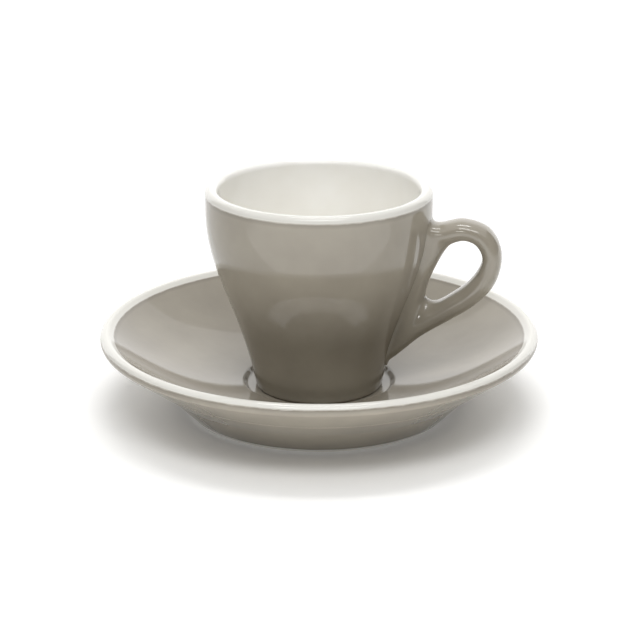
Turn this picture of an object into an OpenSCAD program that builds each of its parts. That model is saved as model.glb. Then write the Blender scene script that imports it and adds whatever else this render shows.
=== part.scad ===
// Espresso cup with a ring handle, standing in the well of its saucer.
// Both pieces are glazed porcelain: white inside and round the rims, with a warm grey coat elsewhere.
// Lengths are in millimetres. The origin is the middle of the saucer's foot on the table,
// +Z is up and the handle points along +X.

/* [Saucer] */
// Diameter over the rim
saucer_d = 120; // [104:1:150]
// Height of the rim's top above the table
saucer_h = 22.3; // [19:0.1:28]
// Thickness of the wall at the rim, which is fully rounded
saucer_wall = 3.4; // [2.4:0.1:4.4]
// Width of the white band inside the rim's round edge
rim_band = 0.9; // [0.2:0.1:3]
// Slope of the inner wall just inside the rim, in degrees
rim_slope = 38; // [30:1:46]
// Diameter of the underside's crease, where the wall turns down to the foot
crease_d = 88; // [82:1:98]
// Height of that crease above the table
crease_h = 8; // [6:0.1:10]

/* [Saucer foot and well] */
// Outer diameter of the foot ring where it stands
saucer_foot_d = 72.4; // [62:0.2:80]
// Width of the foot ring's flat standing face
saucer_foot_w = 3; // [2:0.1:5]
// Height of the hollow under the well
hollow_h = 2.4; // [1.6:0.1:3.5]
// Height of the hollow just inside the foot ring
hollow_ring_h = 4.6; // [3.6:0.1:6]
// Thickness of the saucer under the well
well_floor = 3.3; // [2.4:0.1:4.5]
// Diameter of the well that the cup stands in
well_d = 42; // [40:0.5:50]
// Depth of the well
well_depth = 1.5; // [1:0.1:2.5]
// Radius of the well's rounded edge
well_round = 0.8; // [0.4:0.1:1]
// Slope of the dish where it meets the well, in degrees
dish_slope = 12; // [6:1:16]

/* [Cup] */
// Height of the cup over its lip
cup_h = 56.4; // [48:0.2:66]
// Diameter over the widest part, just below the lip
cup_d = 61.4; // [56:0.2:70]
// Diameter of the foot, over its rounded edge
cup_foot_d = 35.2; // [30:0.2:38]
// Thickness of the wall at the lip, which is fully rounded
lip_t = 3.5; // [2.4:0.1:4.2]
// Height of the white lip above the coat's upper edge
lip_band = 1.6; // [1:0.1:5]
// Height of the upright part of the wall, down from the lip's top
lip_upright = 6.4; // [4.5:0.1:14]
// Thickness of the cup's floor at its middle
cup_floor = 4.8; // [3.6:0.1:7]

/* [Cup foot] */
// Radius of the foot's rounded outer edge
foot_round = 1.2; // [0.6:0.1:1.6]
// Width of the foot ring's flat standing face
cup_foot_w = 2.6; // [1.6:0.1:4]
// Depth of the hollow inside the foot ring
cup_hollow = 1.2; // [0.6:0.1:2]

/* [Handle] */
// Distance that the ring stands out from the wall
handle_reach = 21; // [16:0.5:26]
// Distance from the lip's top down to the handle's top
handle_drop = 6.2; // [4:0.1:12]
// Height of the tail's tip above the cup's foot
handle_tail = 7.5; // [5:0.1:11]
// Thickness of the ring from side to side
handle_t = 9; // [7:0.1:11]

/* [Glaze] */
// Thickness of the grey coat
coat_t = 0.35; // [0.2:0.05:0.5]

/* [Hidden] */
$fn = 96;
white = "#efeee9";
grey = "#a59c90";
// Hairline left between a coat and the body under it, and between the handle and the cup's wall
coat_gap = 0.02;
lute_gap = 0.05;
curve_steps = 20;
arc_steps = 10;
edge_steps = 5;

// Pull of the curves' inner points: shares of the distances that the curves cover
dish_rim_pull_share = 0.4;
dish_well_pull_share = 0.45;
wall_foot_pull_share = 0.47;
wall_foot_flare_share = 0.335;
wall_lip_pull_share = 0.345;
bowl_lip_pull_share = 0.48;
bowl_floor_pull_share = 0.59;

// Angles round the section of the rim and of the cup's foot where the grey coat ends, in degrees
under_coat_angle = 25;
foot_coat_angle = -50;
// The under coat stops this far above the table
foot_bare_h = 1;
// The foot ring's inner face leans out by this much, to leave the die
foot_draft = 0.35;

saucer_r = saucer_d / 2;
rim_r = saucer_wall / 2;
rim_c = [saucer_r - rim_r, saucer_h - rim_r];
crease = [crease_d / 2, crease_h];
foot_r = saucer_foot_d / 2;
well_r = well_d / 2;
well_z = hollow_h + well_floor;

lip_r = lip_t / 2;
cup_r = cup_d / 2;
cup_foot_r = cup_foot_d / 2;
lip_c = [cup_r - lip_r, cup_h - lip_r];
shoulder_h = cup_h - lip_upright;
handle_top = cup_h - handle_drop;

// The ring handle, station by station round its loop from the top root, over the loop and down the
// tail, then back up inside the wall. Each pair is a height share between tail and top, and a share
// of the reach measured out from the wall. The first table is the outer edge, the second the hole's.
handle_outer_shares = [
    [0.935, -0.1], [0.95, 0.12], [0.98, 0.41], [0.925, 0.745], [0.77, 0.95], [0.585, 0.995], [0.435, 0.86],
    [0.32, 0.615], [0.2, 0.335], [0.01, -0.03], [0.28, -0.1], [0.565, -0.1], [0.78, -0.1]];
handle_hole_shares = [
    [0.79, 0.245], [0.83, 0.32], [0.85, 0.46], [0.825, 0.605], [0.75, 0.715], [0.66, 0.71], [0.565, 0.63],
    [0.49, 0.495], [0.435, 0.36], [0.44, 0.24], [0.48, 0.17], [0.595, 0.15], [0.705, 0.185]];
// Power that makes the ring's section: 1 is an oval, and less is fuller, with flatter sides
handle_section_power = 0.85;
rings_per_station = 6;
ring_sides = 16;

function bezier(a, b, c, d) = [for (i = [0 : curve_steps])
    let (t = i / curve_steps, s = 1 - t)
    a * s * s * s + b * 3 * s * s * t + c * 3 * s * t * t + d * t * t * t];
function arc(centre, r, from, to, steps) = [for (i = [0 : steps])
    let (a = from + (to - from) * i / steps) centre + r * [cos(a), sin(a)]];
function unit(v) = v / norm(v);
function but_first(p) = [for (i = [1 : len(p) - 1]) p[i]];
function reversed(p) = [for (i = [len(p) - 1 : -1 : 0]) p[i]];
// Direction of a line of points at point i, and the points moved to its left by d
function heading(p, i) = unit((i > 0 ? unit(p[i] - p[i - 1]) : [0, 0])
    + (i < len(p) - 1 ? unit(p[i + 1] - p[i]) : [0, 0]));
function shifted(p, d) = [for (i = [0 : len(p) - 1])
    let (h = heading(p, i)) p[i] + d * [-h.y, h.x]];
// Angle at which a line from point p touches the lower side of a circle
function touch_angle(p, centre, r) = atan2(p.y - centre.y, p.x - centre.x) + acos(r / norm(p - centre));

// Saucer section, from the foot out along the underside, over the rim and down the dish to the middle
foot_bare = [foot_r + (crease.x - foot_r) * foot_bare_h / crease.y, foot_bare_h];
under_line = concat([foot_bare, crease],
    arc(rim_c, rim_r, touch_angle(crease, rim_c, rim_r), under_coat_angle, edge_steps));
rim_line = arc(rim_c, rim_r, under_coat_angle, 90 + rim_slope, arc_steps);
dish_run = [-cos(rim_slope), -sin(rim_slope)];
dish_start = rim_line[arc_steps] + dish_run * rim_band / cos(rim_slope);
well_edge = arc([well_r + well_round, well_z + well_depth - well_round], well_round,
    90 + dish_slope, 180, edge_steps);
dish_l = dish_start.x - well_edge[0].x;
dish_line = bezier(dish_start,
    dish_start + dish_run * dish_l * dish_rim_pull_share,
    well_edge[0] + [cos(dish_slope), sin(dish_slope)] * dish_l * dish_well_pull_share,
    well_edge[0]);
top_line = concat(dish_line, but_first(well_edge), [[well_r, well_z], [0, well_z]]);
under_hollow = [[0, hollow_h], [well_r, hollow_h],
    [foot_r - saucer_foot_w - foot_draft, hollow_ring_h], [foot_r - saucer_foot_w, 0], [foot_r, 0]];

// Cup section, from the foot's edge up the wall to the coat's upper edge
flare = (cup_r - cup_foot_r) * wall_foot_flare_share;
wall_pull = (shoulder_h - foot_round) * wall_foot_pull_share;
flare_angle = -atan2(flare, wall_pull);
foot_c = [cup_foot_r - foot_round, foot_round];
foot_edge = arc(foot_c, foot_round, foot_coat_angle, flare_angle, edge_steps);
wall_line = bezier(foot_edge[edge_steps],
    foot_edge[edge_steps] + [flare, wall_pull],
    [cup_r, shoulder_h - (shoulder_h - foot_round) * wall_lip_pull_share],
    [cup_r, shoulder_h]);
// The coat ends on the upright wall, or on the lip's round edge where the white band is narrower than that
lip_coat_angle = lip_band < lip_r ? asin(1 - lip_band / lip_r) : 0;
coat_top = lip_band < lip_r ? arc(lip_c, lip_r, 0, lip_coat_angle, edge_steps) : [[cup_r, cup_h - lip_band]];
coat_line = concat(foot_edge, but_first(wall_line), coat_top);
coat_end = coat_line[len(coat_line) - 1];
lip_line = concat([coat_end],
    [for (p = arc(lip_c, lip_r, lip_coat_angle, 180, arc_steps)) if (norm(p - coat_end) > coat_gap) p]);
bowl_r = cup_r - lip_t;
bowl_line = bezier([bowl_r, lip_c.y],
    [bowl_r, lip_c.y - (lip_c.y - cup_floor) * bowl_lip_pull_share],
    [bowl_r * bowl_floor_pull_share, cup_floor],
    [0, cup_floor]);
cup_hollow_r = cup_foot_r - foot_round - cup_foot_w;
cup_under = [[0, cup_hollow], [cup_hollow_r - cup_hollow, cup_hollow], [cup_hollow_r, 0], [foot_c.x, 0]];

// Radius of the cup's wall at a height above its foot
function wall_r(h) = lookup(h, [for (p = coat_line) [p.y, p.x]]);
// A handle point from its pair of shares: radius and height above the cup's foot
function handle_point(pair) = let (h = handle_tail + (handle_top - handle_tail) * pair[0])
    [wall_r(h) + handle_reach * pair[1], h];
// Smooth closed curve through a table of stations, at station s plus the fraction t
function through(p, s, t) = let (n = len(p), a = p[(s + n - 1) % n], b = p[s], c = p[(s + 1) % n],
    d = p[(s + 2) % n])
    b + ((c - a) * t + (2 * a - 5 * b + 4 * c - d) * t * t + (3 * b - a - 3 * c + d) * t * t * t) / 2;

// Cosine or sine along the handle's section
function fuller(v) = sign(v) * pow(abs(v), handle_section_power);

module turned(section) {
    rotate_extrude() polygon(section);
}

// A coat on a line of the section, as thick as the glaze
module coat(line) {
    turned(concat(line, reversed(shifted(line, coat_t))));
}

// Pressed porcelain saucer: the bare white rim and foot ring show, and the rest lies under the coats
module saucer_body() {
    color(white)
        turned(concat(under_hollow, shifted(under_line, coat_t + coat_gap), rim_line, [dish_start],
            shifted(top_line, coat_t + coat_gap)));
}

// Grey glaze over the dish and the well
module saucer_top_glaze() {
    color(grey) coat(top_line);
}

// Grey glaze on the underside, from the rim's outer edge down to just above the table
module saucer_under_glaze() {
    color(grey) coat(under_line);
}

// Cast porcelain cup: the inside, the lip and the foot ring are white
module cup_body() {
    color(white) translate([0, 0, well_z])
        turned(concat(cup_under, [foot_edge[0]], shifted(coat_line, coat_t + coat_gap), lip_line,
            but_first(bowl_line)));
}

// Grey glaze on the cup's outer wall, from its foot to below the lip
module cup_glaze() {
    color(grey) translate([0, 0, well_z]) coat(coat_line);
}

// Ring of full oval section between the outer edge and the hole, as one closed surface
module handle_ring() {
    outer = [for (pair = handle_outer_shares) handle_point(pair)];
    hole = [for (pair = handle_hole_shares) handle_point(pair)];
    count = len(outer) * rings_per_station;
    points = [for (i = [0 : count - 1])
        let (s = floor(i / rings_per_station), t = i / rings_per_station - s,
            o = through(outer, s, t), h = through(hole, s, t))
        for (j = [0 : ring_sides - 1])
            let (a = 360 * j / ring_sides, m = (o + h) / 2 + (o - h) / 2 * fuller(cos(a)))
            [m.x, handle_t / 2 * fuller(sin(a)), m.y]];
    faces = [for (i = [0 : count - 1], j = [0 : ring_sides - 1])
        let (a = i * ring_sides, b = (i + 1) % count * ring_sides, k = (j + 1) % ring_sides)
        for (face = [[a + j, a + k, b + j], [a + k, b + k, b + j]]) face];
    polyhedron(points, faces);
}

// Handle, cast by itself and joined to the wall with slip: its inner side follows the cup's wall
module cup_handle() {
    color(grey) translate([0, 0, well_z])
        difference() {
            handle_ring();
            turned(concat([[0, 0]], shifted(coat_line, -lute_gap), [[0, coat_end.y]]));
        }
}

saucer_body();
saucer_top_glaze();
saucer_under_glaze();
cup_body();
cup_glaze();
cup_handle();
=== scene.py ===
import math

import bmesh
import bpy
import numpy as np
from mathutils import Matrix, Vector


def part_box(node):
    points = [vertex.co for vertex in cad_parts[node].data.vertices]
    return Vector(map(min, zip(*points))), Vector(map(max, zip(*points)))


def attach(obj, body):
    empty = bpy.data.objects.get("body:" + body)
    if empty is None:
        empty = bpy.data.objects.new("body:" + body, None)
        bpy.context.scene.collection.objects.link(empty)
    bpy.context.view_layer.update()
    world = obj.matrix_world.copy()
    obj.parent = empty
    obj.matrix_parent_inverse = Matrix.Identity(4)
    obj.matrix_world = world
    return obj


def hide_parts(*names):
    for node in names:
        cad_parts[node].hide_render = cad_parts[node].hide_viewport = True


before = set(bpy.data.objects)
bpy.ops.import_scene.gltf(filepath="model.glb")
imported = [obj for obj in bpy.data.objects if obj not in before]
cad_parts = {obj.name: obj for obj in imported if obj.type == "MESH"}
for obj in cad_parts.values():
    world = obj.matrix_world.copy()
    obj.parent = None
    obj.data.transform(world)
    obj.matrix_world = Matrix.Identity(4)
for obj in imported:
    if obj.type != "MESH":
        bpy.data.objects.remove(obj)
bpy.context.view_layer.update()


# Saucer body
# Porcelain pressed between a die and a roller, with a foot ring underneath and a shallow well for the cup.
# The well's wall is a short slope. The fully rounded rim stays white under a clear glaze, and the ring that
# the saucer stands on is wiped bare before firing.

# Sizes are in millimetres and angles in degrees, and each mesh is scaled to metres as it is made
MM = 0.001


def bezier(start, start_pull, end_pull, end, steps=48):
    """Points of one cubic curve."""
    t = np.linspace(0, 1, steps + 1)[:, None]
    s = 1 - t
    start, start_pull, end_pull, end = (np.asarray(p, float) for p in (start, start_pull, end_pull, end))
    return start * s**3 + 3 * start_pull * s**2 * t + 3 * end_pull * s * t**2 + end * t**3


def arc(centre, radius, first, last, steps=16):
    """Points of a circular arc, with its angles in degrees."""
    turn = np.radians(np.linspace(first, last, steps + 1))
    return np.asarray(centre) + radius * np.stack([np.cos(turn), np.sin(turn)], 1)


def rounded(knots, radius, steps=6):
    """A line through the knots whose inner corners are eased over a radius, or over half of a short side."""
    most_share = 0.5
    knots = [np.asarray(k, float) for k in knots]
    line = [knots[0][None]]
    for before, corner, after in zip(knots, knots[1:], knots[2:]):
        sides = [knot - corner for knot in (before, after)]
        arm = [corner + side * min(most_share, radius / np.linalg.norm(side)) for side in sides]
        line.append(bezier(arm[0], (arm[0] + 2 * corner) / 3, (arm[1] + 2 * corner) / 3, arm[1], steps))
    return np.concatenate(line + [knots[-1][None]])


def join(*lines):
    """One line from several that meet end to end, without doubled points."""
    same_place = 1e-7
    points = np.concatenate([np.atleast_2d(line) for line in lines])
    step = np.linalg.norm(np.diff(points, axis=0), axis=1)
    return points[np.concatenate([[True], step > same_place])]


def towards(angle):
    """Unit run at an angle in degrees."""
    return np.array([math.cos(math.radians(angle)), math.sin(math.radians(angle))])


def beside(line, distance):
    """The line moved to its left, which is into the clay on every section here."""
    run = np.diff(line, axis=0)
    run /= np.linalg.norm(run, axis=1)[:, None]
    heading = np.concatenate([run[:1], run[:-1] + run[1:], run[-1:]])
    heading /= np.linalg.norm(heading, axis=1)[:, None]
    return line + distance * np.stack([-heading[:, 1], heading[:, 0]], 1)


def even(line, spacing):
    """The line with its long stretches divided."""
    points = [line[:1]]
    for a, b in zip(line, line[1:]):
        parts = max(1, math.ceil(np.linalg.norm(b - a) / spacing))
        points.append(a + (b - a) * np.linspace(0, 1, parts + 1)[1:, None])
    return np.concatenate(points)


def add_node(tree, kind, settings=None, links=None):
    """Adds a node to a tree, with its settings and the outputs that feed its sockets."""
    node = tree.nodes.new(kind)
    for name, value in (settings or {}).items():
        if isinstance(name, int) or name in node.inputs.keys():
            node.inputs[name].default_value = value
        else:
            setattr(node, name, value)
    for name, output in (links or {}).items():
        tree.links.new(output, node.inputs[name])
    return node


def turning_tree():
    """Geometry Nodes that turn a section about the axis, as a jigger does, and warp it as a kiln does."""
    tree = bpy.data.node_groups.new("turned_section", "GeometryNodeTree")
    tree.interface.new_socket("Geometry", in_out="OUTPUT", socket_type="NodeSocketGeometry")
    for label, kind in (("Section", "Object"), ("Steps Round", "Int"), ("Weld Distance", "Float"),
                        ("Kiln Warp", "Float"), ("Warp Length", "Float"), ("Finish", "Material")):
        tree.interface.new_socket(label, in_out="INPUT", socket_type="NodeSocket" + kind)
    sizes = add_node(tree, "NodeGroupInput").outputs
    section = add_node(tree, "GeometryNodeObjectInfo", {}, {"Object": sizes["Section"]})
    # The circle is all but a point, so that the section's own radius is the piece's radius
    point_radius = 1e-9
    circle = add_node(tree, "GeometryNodeCurvePrimitiveCircle", {"Radius": point_radius},
                      {"Resolution": sizes["Steps Round"]})
    upright = add_node(tree, "GeometryNodeSetCurveNormal", {"mode": "Z_UP"},
                       {"Curve": circle.outputs["Curve"]})
    turned = add_node(tree, "GeometryNodeCurveToMesh", {},
                      {"Curve": upright.outputs["Curve"], "Profile Curve": section.outputs["Geometry"]})
    welded = add_node(tree, "GeometryNodeMergeByDistance", {},
                      {"Geometry": turned.outputs["Mesh"], "Distance": sizes["Weld Distance"]})
    # The warp draws the wall in by a fraction of a millimetre, in soft patches round the axis
    place = add_node(tree, "GeometryNodeInputPosition").outputs["Position"]
    rate = add_node(tree, "ShaderNodeMath", {"operation": "DIVIDE", 0: 1.0}, {1: sizes["Warp Length"]})
    patches = add_node(tree, "ShaderNodeTexNoise", {"Detail": 0.0},
                       {"Vector": place, "Scale": rate.outputs["Value"]})
    depth = add_node(tree, "ShaderNodeMath", {"operation": "MULTIPLY"},
                     {0: patches.outputs["Fac"], 1: sizes["Kiln Warp"]})
    to_axis = add_node(tree, "ShaderNodeVectorMath", {"operation": "MULTIPLY", 1: (-1.0, -1.0, 0.0)},
                       {0: place})
    inward = add_node(tree, "ShaderNodeVectorMath", {"operation": "NORMALIZE"},
                      {0: to_axis.outputs["Vector"]})
    shift = add_node(tree, "ShaderNodeVectorMath", {"operation": "SCALE"},
                     {0: inward.outputs["Vector"], "Scale": depth.outputs["Value"]})
    warped = add_node(tree, "GeometryNodeSetPosition", {},
                      {"Geometry": welded.outputs["Geometry"], "Offset": shift.outputs["Vector"]})
    smooth = add_node(tree, "GeometryNodeSetShadeSmooth", {}, {"Geometry": warped.outputs["Geometry"]})
    whole = add_node(tree, "GeometryNodeRealizeInstances", {}, {"Geometry": smooth.outputs["Geometry"]})
    finished = add_node(tree, "GeometryNodeSetMaterial", {},
                        {"Geometry": whole.outputs["Geometry"], "Material": sizes["Finish"]})
    add_node(tree, "NodeGroupOutput", {}, {"Geometry": finished.outputs["Geometry"]})
    return tree


def face_outwards(mesh):
    """Turns the faces of a closed mesh outwards."""
    work = bmesh.new()
    work.from_mesh(mesh)
    bmesh.ops.recalc_face_normals(work, faces=work.faces)
    work.to_mesh(mesh)
    work.free()


def keep_edge_distance(mesh, distance):
    """Keeps each point's distance from the edge of a coat, in millimetres, for the materials to read."""
    mesh.attributes.new("from_edge", "FLOAT", "POINT").data.foreach_set("value", distance)


turning = turning_tree()
weld_distance = 0.002
kiln_warp = 0.05
warp_length = 34
sharp_angle = 50
far_from_edge = 10.0


def turned_piece(name, section, finish, closed=False, coat_edges=(), steps_round=224):
    """A plain mesh turned from a section in millimetres. Coat edges are the points of the section where a
    glaze coat stops."""
    curve = bpy.data.curves.new(name + "_section", "CURVE")
    spline = curve.splines.new("POLY")
    spline.points.add(len(section) - 1)
    # Along an upright circle, a section's Y runs down
    for point, (r, z) in zip(spline.points, section * MM):
        point.co = (r, -z, 0, 1)
    spline.use_cyclic_u = closed
    template = bpy.data.objects.new(name + "_section", curve)
    bpy.context.collection.objects.link(template)

    blank = bpy.data.objects.new(name, bpy.data.meshes.new(name))
    bpy.context.collection.objects.link(blank)
    modifier = blank.modifiers.new("turning", "NODES")
    modifier.node_group = turning
    wanted = {"Section": template, "Steps Round": steps_round, "Weld Distance": weld_distance * MM,
              "Kiln Warp": kiln_warp * MM, "Warp Length": warp_length * MM, "Finish": finish}
    for socket in turning.interface.items_tree:
        if socket.in_out == "INPUT":
            modifier[socket.identifier] = wanted[socket.name]
    graph = bpy.context.evaluated_depsgraph_get()
    mesh = bpy.data.meshes.new_from_object(blank.evaluated_get(graph), depsgraph=graph)
    mesh.name = name
    blank.modifiers.remove(modifier)
    blank.data = mesh
    bpy.data.objects.remove(template)

    face_outwards(mesh)
    mesh.set_sharp_from_angle(angle=math.radians(sharp_angle))

    places = np.empty(len(mesh.vertices) * 3)
    mesh.vertices.foreach_get("co", places)
    places = places.reshape(-1, 3) / MM
    ring = np.stack([np.hypot(places[:, 0], places[:, 1]), places[:, 2]], 1)
    distance = np.full(len(ring), far_from_edge)
    for edge in coat_edges:
        distance = np.minimum(distance, np.linalg.norm(ring - edge, axis=1))
    keep_edge_distance(mesh, distance)
    return blank


def paint(code):
    """Linear colour from an sRGB hex code."""
    parts = [int(code[i:i + 2], 16) / 255 for i in (1, 3, 5)]
    return [c / 12.92 if c <= 0.04045 else ((c + 0.055) / 1.055) ** 2.4 for c in parts] + [1.0]


def new_material(name):
    """An empty material, with its tree and the Object coordinates that its patterns follow."""
    material = bpy.data.materials.new(name)
    material.use_nodes = True
    tree = material.node_tree
    tree.nodes.clear()
    place = add_node(tree, "ShaderNodeTexCoord").outputs["Object"]
    return material, tree, place


def white_porcelain():
    """Clear gloss glaze fired on white porcelain: a hard bright gloss, with the faint ripple of a dipped
    glaze and cloudy warmth where it lies thicker. On the rims, beside the coloured coat, a greyer white is
    painted shade that tones down where the lights fall brightest."""
    cloud_width = 18
    ripple_width = 5
    ripple_depth = 0.05
    rim_shade_start = 1.8
    rim_shade_end = 3.0
    material, tree, place = new_material("clear_glazed_white_porcelain")
    clouds = add_node(tree, "ShaderNodeTexNoise", {"Scale": 1 / (cloud_width * MM), "Detail": 3.0},
                      {"Vector": place})
    tint = add_node(tree, "ShaderNodeValToRGB", {}, {"Fac": clouds.outputs["Fac"]})
    tint.color_ramp.elements[0].color = paint("#F7F5EF")
    tint.color_ramp.elements[1].color = paint("#FCFBF7")
    tint.color_ramp.elements[0].position = 0.35
    tint.color_ramp.elements[1].position = 0.65
    # Within a few millimetres of a coat's edge, on the rims and the lip, the white is painted greyer:
    # painted shade that tones down where the lights fall brightest
    distance = add_node(tree, "ShaderNodeAttribute", {"attribute_name": "from_edge"})
    rim = add_node(tree, "ShaderNodeMapRange",
                   {"From Min": rim_shade_start, "From Max": rim_shade_end, "To Min": 1.0, "To Max": 0.0},
                   {"Value": distance.outputs["Fac"]})
    colour = add_node(tree, "ShaderNodeMix", {"data_type": "RGBA", 7: paint("#E2E0D9")},
                      {0: rim.outputs["Result"], 6: tint.outputs["Color"]})
    ripple = add_node(tree, "ShaderNodeTexNoise", {"Scale": 1 / (ripple_width * MM), "Detail": 1.0},
                      {"Vector": place})
    dips = add_node(tree, "ShaderNodeBump", {"Strength": 0.12, "Distance": ripple_depth * MM},
                    {"Height": ripple.outputs["Fac"]})
    haze = add_node(tree, "ShaderNodeMapRange", {"To Min": 0.06, "To Max": 0.11},
                    {"Value": clouds.outputs["Fac"]})
    glaze = add_node(tree, "ShaderNodeBsdfPrincipled", {"IOR": 1.52},
                     {"Base Color": colour.outputs[2], "Roughness": haze.outputs["Result"],
                      "Normal": dips.outputs["Normal"]})
    add_node(tree, "ShaderNodeOutputMaterial", {}, {"Surface": glaze.outputs["BSDF"]})
    return material


def bare_porcelain():
    """Unglazed porcelain, wiped clean before firing: a fine, dry, matt grain."""
    # The real grain is too fine to show, so it is drawn half a millimetre wide
    grain_width = 0.5
    grain_depth = 0.05
    material, tree, place = new_material("bare_biscuit_porcelain")
    grain = add_node(tree, "ShaderNodeTexNoise", {"Scale": 1 / (grain_width * MM), "Detail": 4.0},
                     {"Vector": place})
    tint = add_node(tree, "ShaderNodeValToRGB", {}, {"Fac": grain.outputs["Fac"]})
    tint.color_ramp.elements[0].color = paint("#D8D3C8")
    tint.color_ramp.elements[1].color = paint("#EBE7DE")
    grit = add_node(tree, "ShaderNodeBump", {"Strength": 0.3, "Distance": grain_depth * MM},
                    {"Height": grain.outputs["Fac"]})
    clay = add_node(tree, "ShaderNodeBsdfPrincipled", {"IOR": 1.5, "Roughness": 0.75},
                    {"Base Color": tint.outputs["Color"], "Normal": grit.outputs["Normal"]})
    add_node(tree, "ShaderNodeOutputMaterial", {}, {"Surface": clay.outputs["BSDF"]})
    return material


facing_down = -0.5


def wipe_bare(body, foot_height, reach):
    """Bares the porcelain on the faces that a body stands on, up to a reach above its foot."""
    body.data.materials.append(biscuit)
    for face in body.data.polygons:
        standing = face.center.z < (foot_height + reach) * MM and face.normal.z < facing_down
        face.material_index = 1 if standing else 0


porcelain = white_porcelain()
biscuit = bare_porcelain()

# The coloured coats' thickness, and the hair's breadth that they stand off the body
coat_thickness = 0.35
coat_gap = 0.02

# The coat underneath is the widest piece of the saucer, and the white rim is the highest
rim_radius = min(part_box("saucer_under_glaze")[1][:2]) / MM
rim_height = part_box("saucer_body")[1][2] / MM
rim_round = 1.7
rim_slope = 38
crease = np.array([44.0, 8.0])
foot_radius = 36.2
foot_width = 3.0
hollow_height = 2.4
hollow_ring_height = 4.6
well_radius = 21.0
well_height = 5.7
well_depth = 1.5
dish_slope = 12

rim_centre = np.array([rim_radius - rim_round, rim_height - rim_round])
to_crease = crease - rim_centre
crease_angle = math.atan2(to_crease[1], to_crease[0])
touch = math.degrees(crease_angle + math.acos(rim_round / np.linalg.norm(to_crease)))
under_coat_angle = 25
rim_line = arc(rim_centre, rim_round, under_coat_angle, 90 + rim_slope, steps=24)
dish_run = -towards(rim_slope)
band_width = 0.9
dish_start = rim_line[-1] + dish_run * band_width / math.cos(math.radians(rim_slope))

# Underside: from just above the table out to the crease, and on to the rim, past one fine turning line
foot_bare_height = 1.0
foot_flare = (crease[0] - foot_radius) / crease[1]
foot_bare = np.array([foot_radius + foot_flare * foot_bare_height, foot_bare_height])
rim_touch = rim_centre + rim_round * towards(touch)
crease_round = 0.5
turning_line_radius = 50.4
turning_line_half = 0.3
turning_line_depth = 0.14
cone_run = (rim_touch - crease) / np.linalg.norm(rim_touch - crease)
turning_line = crease + cone_run * (turning_line_radius - crease[0]) / cone_run[0]
turning_line_floor = turning_line + turning_line_depth * np.array([-cone_run[1], cone_run[0]])
under_knots = [foot_bare, crease, turning_line - cone_run * turning_line_half, turning_line_floor,
               turning_line + cone_run * turning_line_half, rim_touch]
under_line = join(rounded(under_knots, crease_round),
                  arc(rim_centre, rim_round, touch, under_coat_angle, steps=18))

# Top: from the white band down the dish, over the well's edge, and down a short slope to the well's floor
well_slope_width = 1.2
well_ease = 0.4
rim_pull_share = 0.4
well_pull_share = 0.45
well_edge = np.array([well_radius, well_height + well_depth])
well_corner = np.array([well_radius - well_slope_width, well_height])
dish_length = dish_start[0] - well_edge[0]
dish_rise = towards(dish_slope)
dish_line = bezier(dish_start, dish_start + dish_run * dish_length * rim_pull_share,
                   well_edge + dish_rise * dish_length * well_pull_share, well_edge, steps=90)
# The last points of the dish make way for the eased edge of the well
dish_last = 6
well_line = rounded([dish_line[-dish_last], well_edge, well_corner, [0, well_height]], well_ease)
top_line = join(dish_line[:-dish_last], well_line)

# Foot: from the axis along the hollow, and round the ring that the saucer stands on
foot_draft = 0.4
foot_round = 0.6
foot_line = rounded([[0, hollow_height], [well_radius, hollow_height],
                     [foot_radius - foot_width - foot_draft, hollow_ring_height],
                     [foot_radius - foot_width, 0], [foot_radius, 0], foot_bare], foot_round)

hidden_spacing = 3.0
shown_spacing = 0.5
under_coats = coat_thickness + coat_gap
saucer_section = join(
    even(foot_line, shown_spacing), even(beside(under_line, under_coats), hidden_spacing),
    rim_line, even(np.stack([rim_line[-1], dish_start]), shown_spacing),
    even(beside(top_line, under_coats), hidden_spacing))
saucer_body = turned_piece("saucer_body_porcelain", saucer_section, porcelain,
                           coat_edges=[dish_start, under_line[-1]])
wipe_bare(saucer_body, foot_height=0, reach=0.5)
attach(saucer_body, "saucer")
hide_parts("saucer_body")


# Saucer glaze
# A warm grey gloss glaze, sprayed on over the white body and fired with it, above and below.
# It stops in a crisp line at the rim, where it thins, and is wiped off just above the table.

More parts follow.
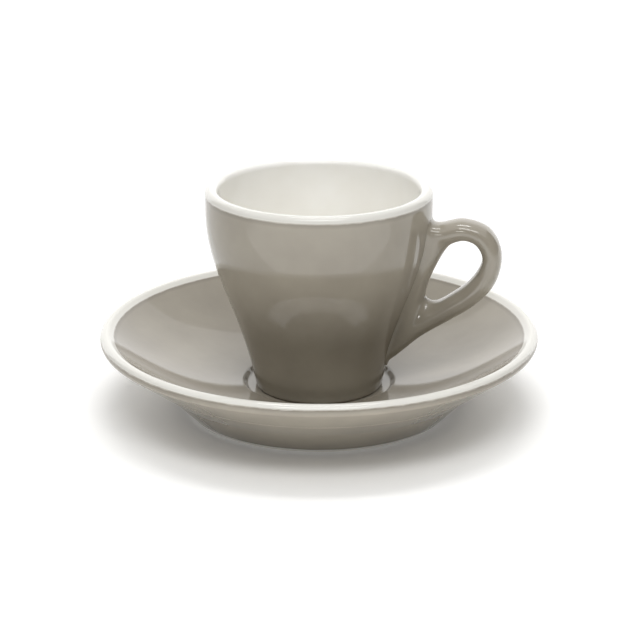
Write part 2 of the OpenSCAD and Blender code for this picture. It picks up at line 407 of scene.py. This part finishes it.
def grey_glaze():
    """Warm grey gloss glaze, sprayed and fired: even and deep, a little cloudy, with a paler thin edge that
    wanders and a darker roll beside it where the glaze pooled."""
    cloud_width = 14
    ripple_width = 5
    ripple_depth = 0.05
    wander_width = 3
    wander_depth = 0.5
    pool_full = 0.6
    pool_end = 1.7
    thin_full = 0.2
    thin_end = 0.65
    material, tree, place = new_material("warm_grey_gloss_glaze")
    clouds = add_node(tree, "ShaderNodeTexNoise", {"Scale": 1 / (cloud_width * MM), "Detail": 3.0},
                      {"Vector": place})
    depth = add_node(tree, "ShaderNodeValToRGB", {}, {"Fac": clouds.outputs["Fac"]})
    depth.color_ramp.elements[0].color = paint("#979083")
    depth.color_ramp.elements[1].color = paint("#9F988A")
    depth.color_ramp.elements[0].position = 0.35
    depth.color_ramp.elements[1].position = 0.65
    distance = add_node(tree, "ShaderNodeAttribute", {"attribute_name": "from_edge"})
    wander = add_node(tree, "ShaderNodeTexNoise", {"Scale": 1 / (wander_width * MM), "Detail": 2.0},
                      {"Vector": place})
    ragged = add_node(tree, "ShaderNodeMath", {"operation": "MULTIPLY_ADD", 1: wander_depth},
                      {0: wander.outputs["Fac"], 2: distance.outputs["Fac"]})
    pool = add_node(tree, "ShaderNodeMapRange",
                    {"From Min": pool_full, "From Max": pool_end, "To Min": 0.45, "To Max": 0.0},
                    {"Value": ragged.outputs["Value"]})
    pooled = add_node(tree, "ShaderNodeMix", {"data_type": "RGBA", 7: paint("#736C61")},
                      {0: pool.outputs["Result"], 6: depth.outputs["Color"]})
    thin = add_node(tree, "ShaderNodeMapRange",
                    {"From Min": thin_full, "From Max": thin_end, "To Min": 0.8, "To Max": 0.0},
                    {"Value": ragged.outputs["Value"]})
    colour = add_node(tree, "ShaderNodeMix", {"data_type": "RGBA", 7: paint("#DDD8CE")},
                      {0: thin.outputs["Result"], 6: pooled.outputs[2]})
    ripple = add_node(tree, "ShaderNodeTexNoise", {"Scale": 1 / (ripple_width * MM), "Detail": 1.0},
                      {"Vector": place})
    dips = add_node(tree, "ShaderNodeBump", {"Strength": 0.05, "Distance": ripple_depth * MM},
                    {"Height": ripple.outputs["Fac"]})
    haze = add_node(tree, "ShaderNodeMapRange", {"To Min": 0.04, "To Max": 0.09},
                    {"Value": clouds.outputs["Fac"]})
    glaze = add_node(tree, "ShaderNodeBsdfPrincipled", {"IOR": 1.56},
                     {"Base Color": colour.outputs[2], "Roughness": haze.outputs["Result"],
                      "Normal": dips.outputs["Normal"]})
    add_node(tree, "ShaderNodeOutputMaterial", {}, {"Surface": glaze.outputs["BSDF"]})
    return material


def coat_section(line):
    """Section of a coat on a line: its outer face, and its hidden face against the body."""
    return join(even(line, shown_spacing), even(beside(line, coat_thickness)[::-1], hidden_spacing))


grey = grey_glaze()
saucer_top = turned_piece("saucer_top_glaze_coat", coat_section(top_line), grey, coat_edges=[dish_start])
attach(saucer_top, "saucer")
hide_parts("saucer_top_glaze")

saucer_under = turned_piece("saucer_under_glaze_coat", coat_section(under_line), grey, closed=True,
                            coat_edges=[under_line[0], under_line[-1]])
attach(saucer_under, "saucer")
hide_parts("saucer_under_glaze")


# Cup body
# Slip-cast porcelain, flared from a small foot to an upright lip and fully rounded at the mouth.
# The bowl and the lip are white under clear glaze, and the ring that it stands on is wiped bare.

cup_low, cup_high = (np.array(corner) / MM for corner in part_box("cup_body"))
lip_radius = min(cup_high[:2])
cup_foot_height = cup_low[2]
cup_height = cup_high[2] - cup_foot_height
lip_round = 1.75
lip_band = 1.6
lip_upright = 6.4
shoulder = cup_height - lip_upright
cup_foot_radius = 17.6
cup_foot_round = 1.2
cup_foot_width = 2.6
cup_hollow = 1.2
cup_floor = 4.8
foot_coat_angle = -62
stand_round = 0.4
flare_out_share = 0.335
flare_up_share = 0.47
shoulder_pull_share = 0.345
bowl_wall_share = 0.48
bowl_floor_share = 0.59

# Wall: round the foot's edge, out along the flare and up to the lip
wall_height = shoulder - cup_foot_round
flare = np.array([(lip_radius - cup_foot_radius) * flare_out_share, wall_height * flare_up_share])
foot_centre = np.array([cup_foot_radius - cup_foot_round, cup_foot_round])
flare_angle = -math.degrees(math.atan2(flare[0], flare[1]))
foot_edge = arc(foot_centre, cup_foot_round, foot_coat_angle, flare_angle)
wall_line = bezier(foot_edge[-1], foot_edge[-1] + flare,
                   [lip_radius, shoulder - wall_height * shoulder_pull_share], [lip_radius, shoulder],
                   steps=90)
lip_centre = np.array([lip_radius - lip_round, cup_height - lip_round])
lip_coat_angle = math.degrees(math.asin(1 - lip_band / lip_round))
coat_line = join(foot_edge, wall_line, arc(lip_centre, lip_round, 0, lip_coat_angle, steps=4))

# Lip, bowl and standing ring
lip_line = arc(lip_centre, lip_round, lip_coat_angle, 180, steps=32)
bowl_radius = lip_radius - 2 * lip_round
bowl_depth = cup_height - lip_round - cup_floor
bowl_line = bezier(lip_line[-1], lip_line[-1] - np.array([0, bowl_depth * bowl_wall_share]),
                   [bowl_radius * bowl_floor_share, cup_floor], [0, cup_floor], steps=110)
stand_radius = foot_centre[0] - cup_foot_width
stand_line = rounded([[0, cup_hollow], [stand_radius - cup_hollow, cup_hollow], [stand_radius, 0],
                      [foot_centre[0], 0], foot_edge[0]], stand_round)
on_saucer = np.array([0, cup_foot_height])
cup_section = on_saucer + join(
    even(stand_line, shown_spacing), even(beside(coat_line, under_coats), hidden_spacing),
    lip_line, bowl_line)
cup_body = turned_piece("cup_body_porcelain", cup_section, porcelain,
                        coat_edges=[on_saucer + coat_line[-1]])
wipe_bare(cup_body, cup_foot_height, reach=0.2)
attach(cup_body, "cup")
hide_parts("cup_body")


# Cup glaze
# The same warm grey gloss glaze, sprayed on the outer wall and fired with the body.
# It runs from the foot's edge up to a crisp line on the round of the lip, where it thins.

cup_coat = turned_piece("cup_glaze_coat", on_saucer + coat_section(coat_line), grey, closed=True,
                        coat_edges=[on_saucer + coat_line[-1]])
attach(cup_coat, "cup")
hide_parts("cup_glaze")


# Cup handle
# A ring cast by itself in a two-part mould, trimmed to the wall and joined with slip before glazing.
# The glaze fills the corner where it meets the wall, and the tail runs out to a point near the foot.

def through(stations, per_station):
    """Smooth closed curve through the stations."""
    p = np.asarray(stations)
    a, b, c, d = (np.roll(p, k, axis=0)[:, None] for k in (1, 0, -1, -2))
    t = (np.arange(per_station) / per_station)[None, :, None]
    curve = b + ((c - a) * t + (2 * a - 5 * b + 4 * c - d) * t**2 + (3 * b - a - 3 * c + d) * t**3) / 2
    return curve.reshape(-1, 2)


# Stations round the ring: height share between tail and top, and share of the reach out from the wall
outer_shares = [
    (0.935, -0.1), (0.95, 0.12), (0.98, 0.41), (0.925, 0.745), (0.77, 0.95), (0.585, 0.995), (0.435, 0.86),
    (0.32, 0.615), (0.2, 0.335), (0.01, -0.03), (0.28, -0.1), (0.565, -0.1), (0.78, -0.1)]
hole_shares = [
    (0.79, 0.245), (0.83, 0.32), (0.85, 0.46), (0.825, 0.605), (0.75, 0.715), (0.66, 0.71), (0.565, 0.63),
    (0.49, 0.495), (0.435, 0.36), (0.44, 0.24), (0.48, 0.17), (0.595, 0.15), (0.705, 0.185)]
handle_reach = 21.0
handle_tail = 7.5
handle_drop = 6.2
handle_top = cup_height - handle_drop
handle_thickness = 9.0
section_power = 0.85
ring_sides = 56
rings_per_station = 22
slip_fillet = 1.1
root_depth = 1.5


def wall_radius(height):
    """Outer radius of the cup at a height above its foot."""
    return np.interp(height, coat_line[:, 1], coat_line[:, 0])


def handle_stations(shares):
    """Stations in millimetres, as radius and height above the cup's foot."""
    height = handle_tail + (handle_top - handle_tail) * np.array([s[0] for s in shares])
    return np.stack([wall_radius(height) + handle_reach * np.array([s[1] for s in shares]), height], 1)


def fuller(value):
    """Cosine or sine along the ring's section, which is fuller than an oval and flatter at its sides."""
    return np.sign(value) * np.abs(value)**section_power


outer = through(handle_stations(outer_shares), rings_per_station)
hole = through(handle_stations(hole_shares), rings_per_station)
turn = np.linspace(0, 2 * np.pi, ring_sides, endpoint=False)
middle = (outer + hole) / 2
half = (outer - hole) / 2
flat = middle[:, None] + half[:, None] * fuller(np.cos(turn))[None, :, None]
side = np.broadcast_to(handle_thickness / 2 * fuller(np.sin(turn)), flat.shape[:2])
surface = np.stack([flat[..., 0], side, flat[..., 1]], -1)

# Slip fillet: close to the wall the ring swells out along its own normal, in a quarter round
along = np.roll(surface, -1, axis=0) - np.roll(surface, 1, axis=0)
round_about = np.roll(surface, -1, axis=1) - np.roll(surface, 1, axis=1)
normal = np.cross(along, round_about)
least_length = 1e-12
normal /= np.linalg.norm(normal, axis=-1)[..., None] + least_length
middle_line = np.stack([middle[:, 0], 0 * middle[:, 0], middle[:, 1]], 1)
outwards = np.sum(normal * (surface - middle_line[:, None]), -1)
normal *= np.sign(outwards)[..., None]
gap = np.hypot(surface[..., 0], surface[..., 1]) - wall_radius(surface[..., 2])
near = np.clip(1 - gap / slip_fillet, 0, 1)
surface = surface + normal * (slip_fillet * (1 - np.sqrt(1 - near**2)))[..., None]

# The hidden side of the ring keeps within the thickness of the cup's wall, short of the bowl
deepest = wall_radius(surface[..., 2]) - root_depth
surface[..., :2] *= np.maximum(1, deepest / np.hypot(surface[..., 0], surface[..., 1]))[..., None]

count = len(outer)
corners = (surface.reshape(-1, 3) + [0, 0, cup_foot_height]) * MM
quads = [(i * ring_sides + j, i * ring_sides + (j + 1) % ring_sides,
          (i + 1) % count * ring_sides + (j + 1) % ring_sides, (i + 1) % count * ring_sides + j)
         for i in range(count) for j in range(ring_sides)]
handle_mesh = bpy.data.meshes.new("cup_handle_ring")
handle_mesh.from_pydata([tuple(c) for c in corners], [], quads)
face_outwards(handle_mesh)
handle_mesh.shade_smooth()
keep_edge_distance(handle_mesh, np.full(len(corners), far_from_edge))
handle_mesh.materials.append(grey)
cup_handle = bpy.data.objects.new("cup_handle_ring", handle_mesh)
bpy.context.collection.objects.link(cup_handle)
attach(cup_handle, "cup")
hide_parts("cup_handle")


# Table
# A photographer's light table: a plain sheet of opal acrylic that the saucer stands on.
# It is wide enough for every view, and lies level at the height of the saucer's foot.

def opal_acrylic():
    """Opal acrylic, faintly lit from below so that shadows on it stay pale, with a satin grain."""
    # The real grain is too fine to show, so it is drawn 3 mm wide
    grain_width = 3
    material, tree, place = new_material("opal_acrylic_light_table")
    grain = add_node(tree, "ShaderNodeTexNoise", {"Scale": 1 / (grain_width * MM), "Detail": 2.0},
                     {"Vector": place})
    tint = add_node(tree, "ShaderNodeValToRGB", {}, {"Fac": grain.outputs["Fac"]})
    tint.color_ramp.elements[0].color = paint("#FAFAF9")
    tint.color_ramp.elements[1].color = paint("#FDFDFC")
    sheet = add_node(tree, "ShaderNodeBsdfPrincipled",
                     {"Roughness": 0.9, "Specular IOR Level": 0.1, "Emission Color": paint("#FFFFFF"),
                      "Emission Strength": 0.1},
                     {"Base Color": tint.outputs["Color"]})
    add_node(tree, "ShaderNodeOutputMaterial", {}, {"Surface": sheet.outputs["BSDF"]})
    return material


# The table, the lights and the camera are placed in metres
table_half = 4.0
table_corners = [(x * table_half, y * table_half, 0) for x, y in ((-1, -1), (1, -1), (1, 1), (-1, 1))]
table_mesh = bpy.data.meshes.new("table")
table_mesh.from_pydata(table_corners, [], [(0, 1, 2, 3)])
table_mesh.materials.append(opal_acrylic())
table = bpy.data.objects.new("table", table_mesh)
bpy.context.collection.objects.link(table)


# Light
# A lit sheet and a softbox hang overhead, a lit backdrop stands behind, and a second softbox hangs in front.
# A small strip stands low at the front left, and a glowing card lies on the table in front of the saucer.
# All are white, hidden from the lens and set square to the camera, in a room that is otherwise dark.

world = bpy.data.worlds.new("dark_room")
world.use_nodes = True
world.node_tree.nodes["Background"].inputs["Strength"].default_value = 0.0
bpy.context.scene.world = world

view_turn = 11.5


def square_to_camera(point):
    """A point of the set, turned about the axis with the camera."""
    turn = math.radians(view_turn)
    return np.array([point[0] * math.cos(turn) - point[1] * math.sin(turn),
                     point[0] * math.sin(turn) + point[1] * math.cos(turn), point[2]])


def panel(name, place, aim, width, depth, radiance):
    """A rectangular soft light at a place, aimed at a point, with the brightness of its face."""
    lamp = bpy.data.lights.new(name, "AREA")
    lamp.shape = "RECTANGLE"
    lamp.size = width
    lamp.size_y = depth
    lamp.energy = radiance * math.pi * width * depth
    holder = bpy.data.objects.new(name, lamp)
    place, aim = (square_to_camera(point) for point in (place, aim))
    holder.location = place
    run = aim - place
    level = math.hypot(run[0], run[1])
    heading = math.atan2(run[1], run[0]) - math.pi / 2 if level else math.radians(view_turn)
    holder.rotation_euler = (math.atan2(level, -run[2]), 0, heading)
    holder.visible_camera = False
    bpy.context.collection.objects.link(holder)


panel("overhead_sheet", place=(0, 0.1, 1.25), aim=(0, 0.1, 0), width=2.8, depth=2.5, radiance=0.95)
panel("overhead_softbox", place=(0, 0.25, 1.2), aim=(0, 0.25, 0), width=0.55, depth=0.17, radiance=11.0)
panel("backdrop", place=(0, 1.35, 0.625), aim=(0, 0, 0.625), width=2.8, depth=1.25, radiance=1.45)
panel("front_softbox", place=(0, -0.6, 1.0), aim=(0, 0, 0), width=0.7, depth=0.35, radiance=5.2)
panel("low_strip", place=(-0.37, -1.15, 0.33), aim=(0, 0, 0.05), width=0.22, depth=0.1, radiance=12.0)
panel("front_card", place=(0, -0.16, 0.002), aim=(0, -0.16, 1.0), width=0.4, depth=0.19, radiance=0.6)


# Camera
# A telephoto about half a metre away, looking down on the cup at a little under 20 degrees.
# It is turned 11.5 degrees about the cup's axis, towards the handle, as the photograph's view is.

view_lift = 19.37
view_distance = 0.55
aim_point = np.array([0.00027, 0.0, 0.02395])
focal_pixels = 2002
picture_pixels = 640
lens = bpy.data.cameras.new("camera")
lens.sensor_width = 36.0
lens.lens = focal_pixels / picture_pixels * lens.sensor_width
camera = bpy.data.objects.new("camera", lens)
lift = math.radians(view_lift)
from_aim = view_distance * np.array([0, -math.cos(lift), math.sin(lift)])
camera.location = square_to_camera(aim_point + from_aim)
camera.rotation_euler = (math.pi / 2 - lift, 0, math.radians(view_turn))
bpy.context.collection.objects.link(camera)
bpy.context.scene.camera = camera
bpy.context.scene.view_settings.view_transform = "Standard"
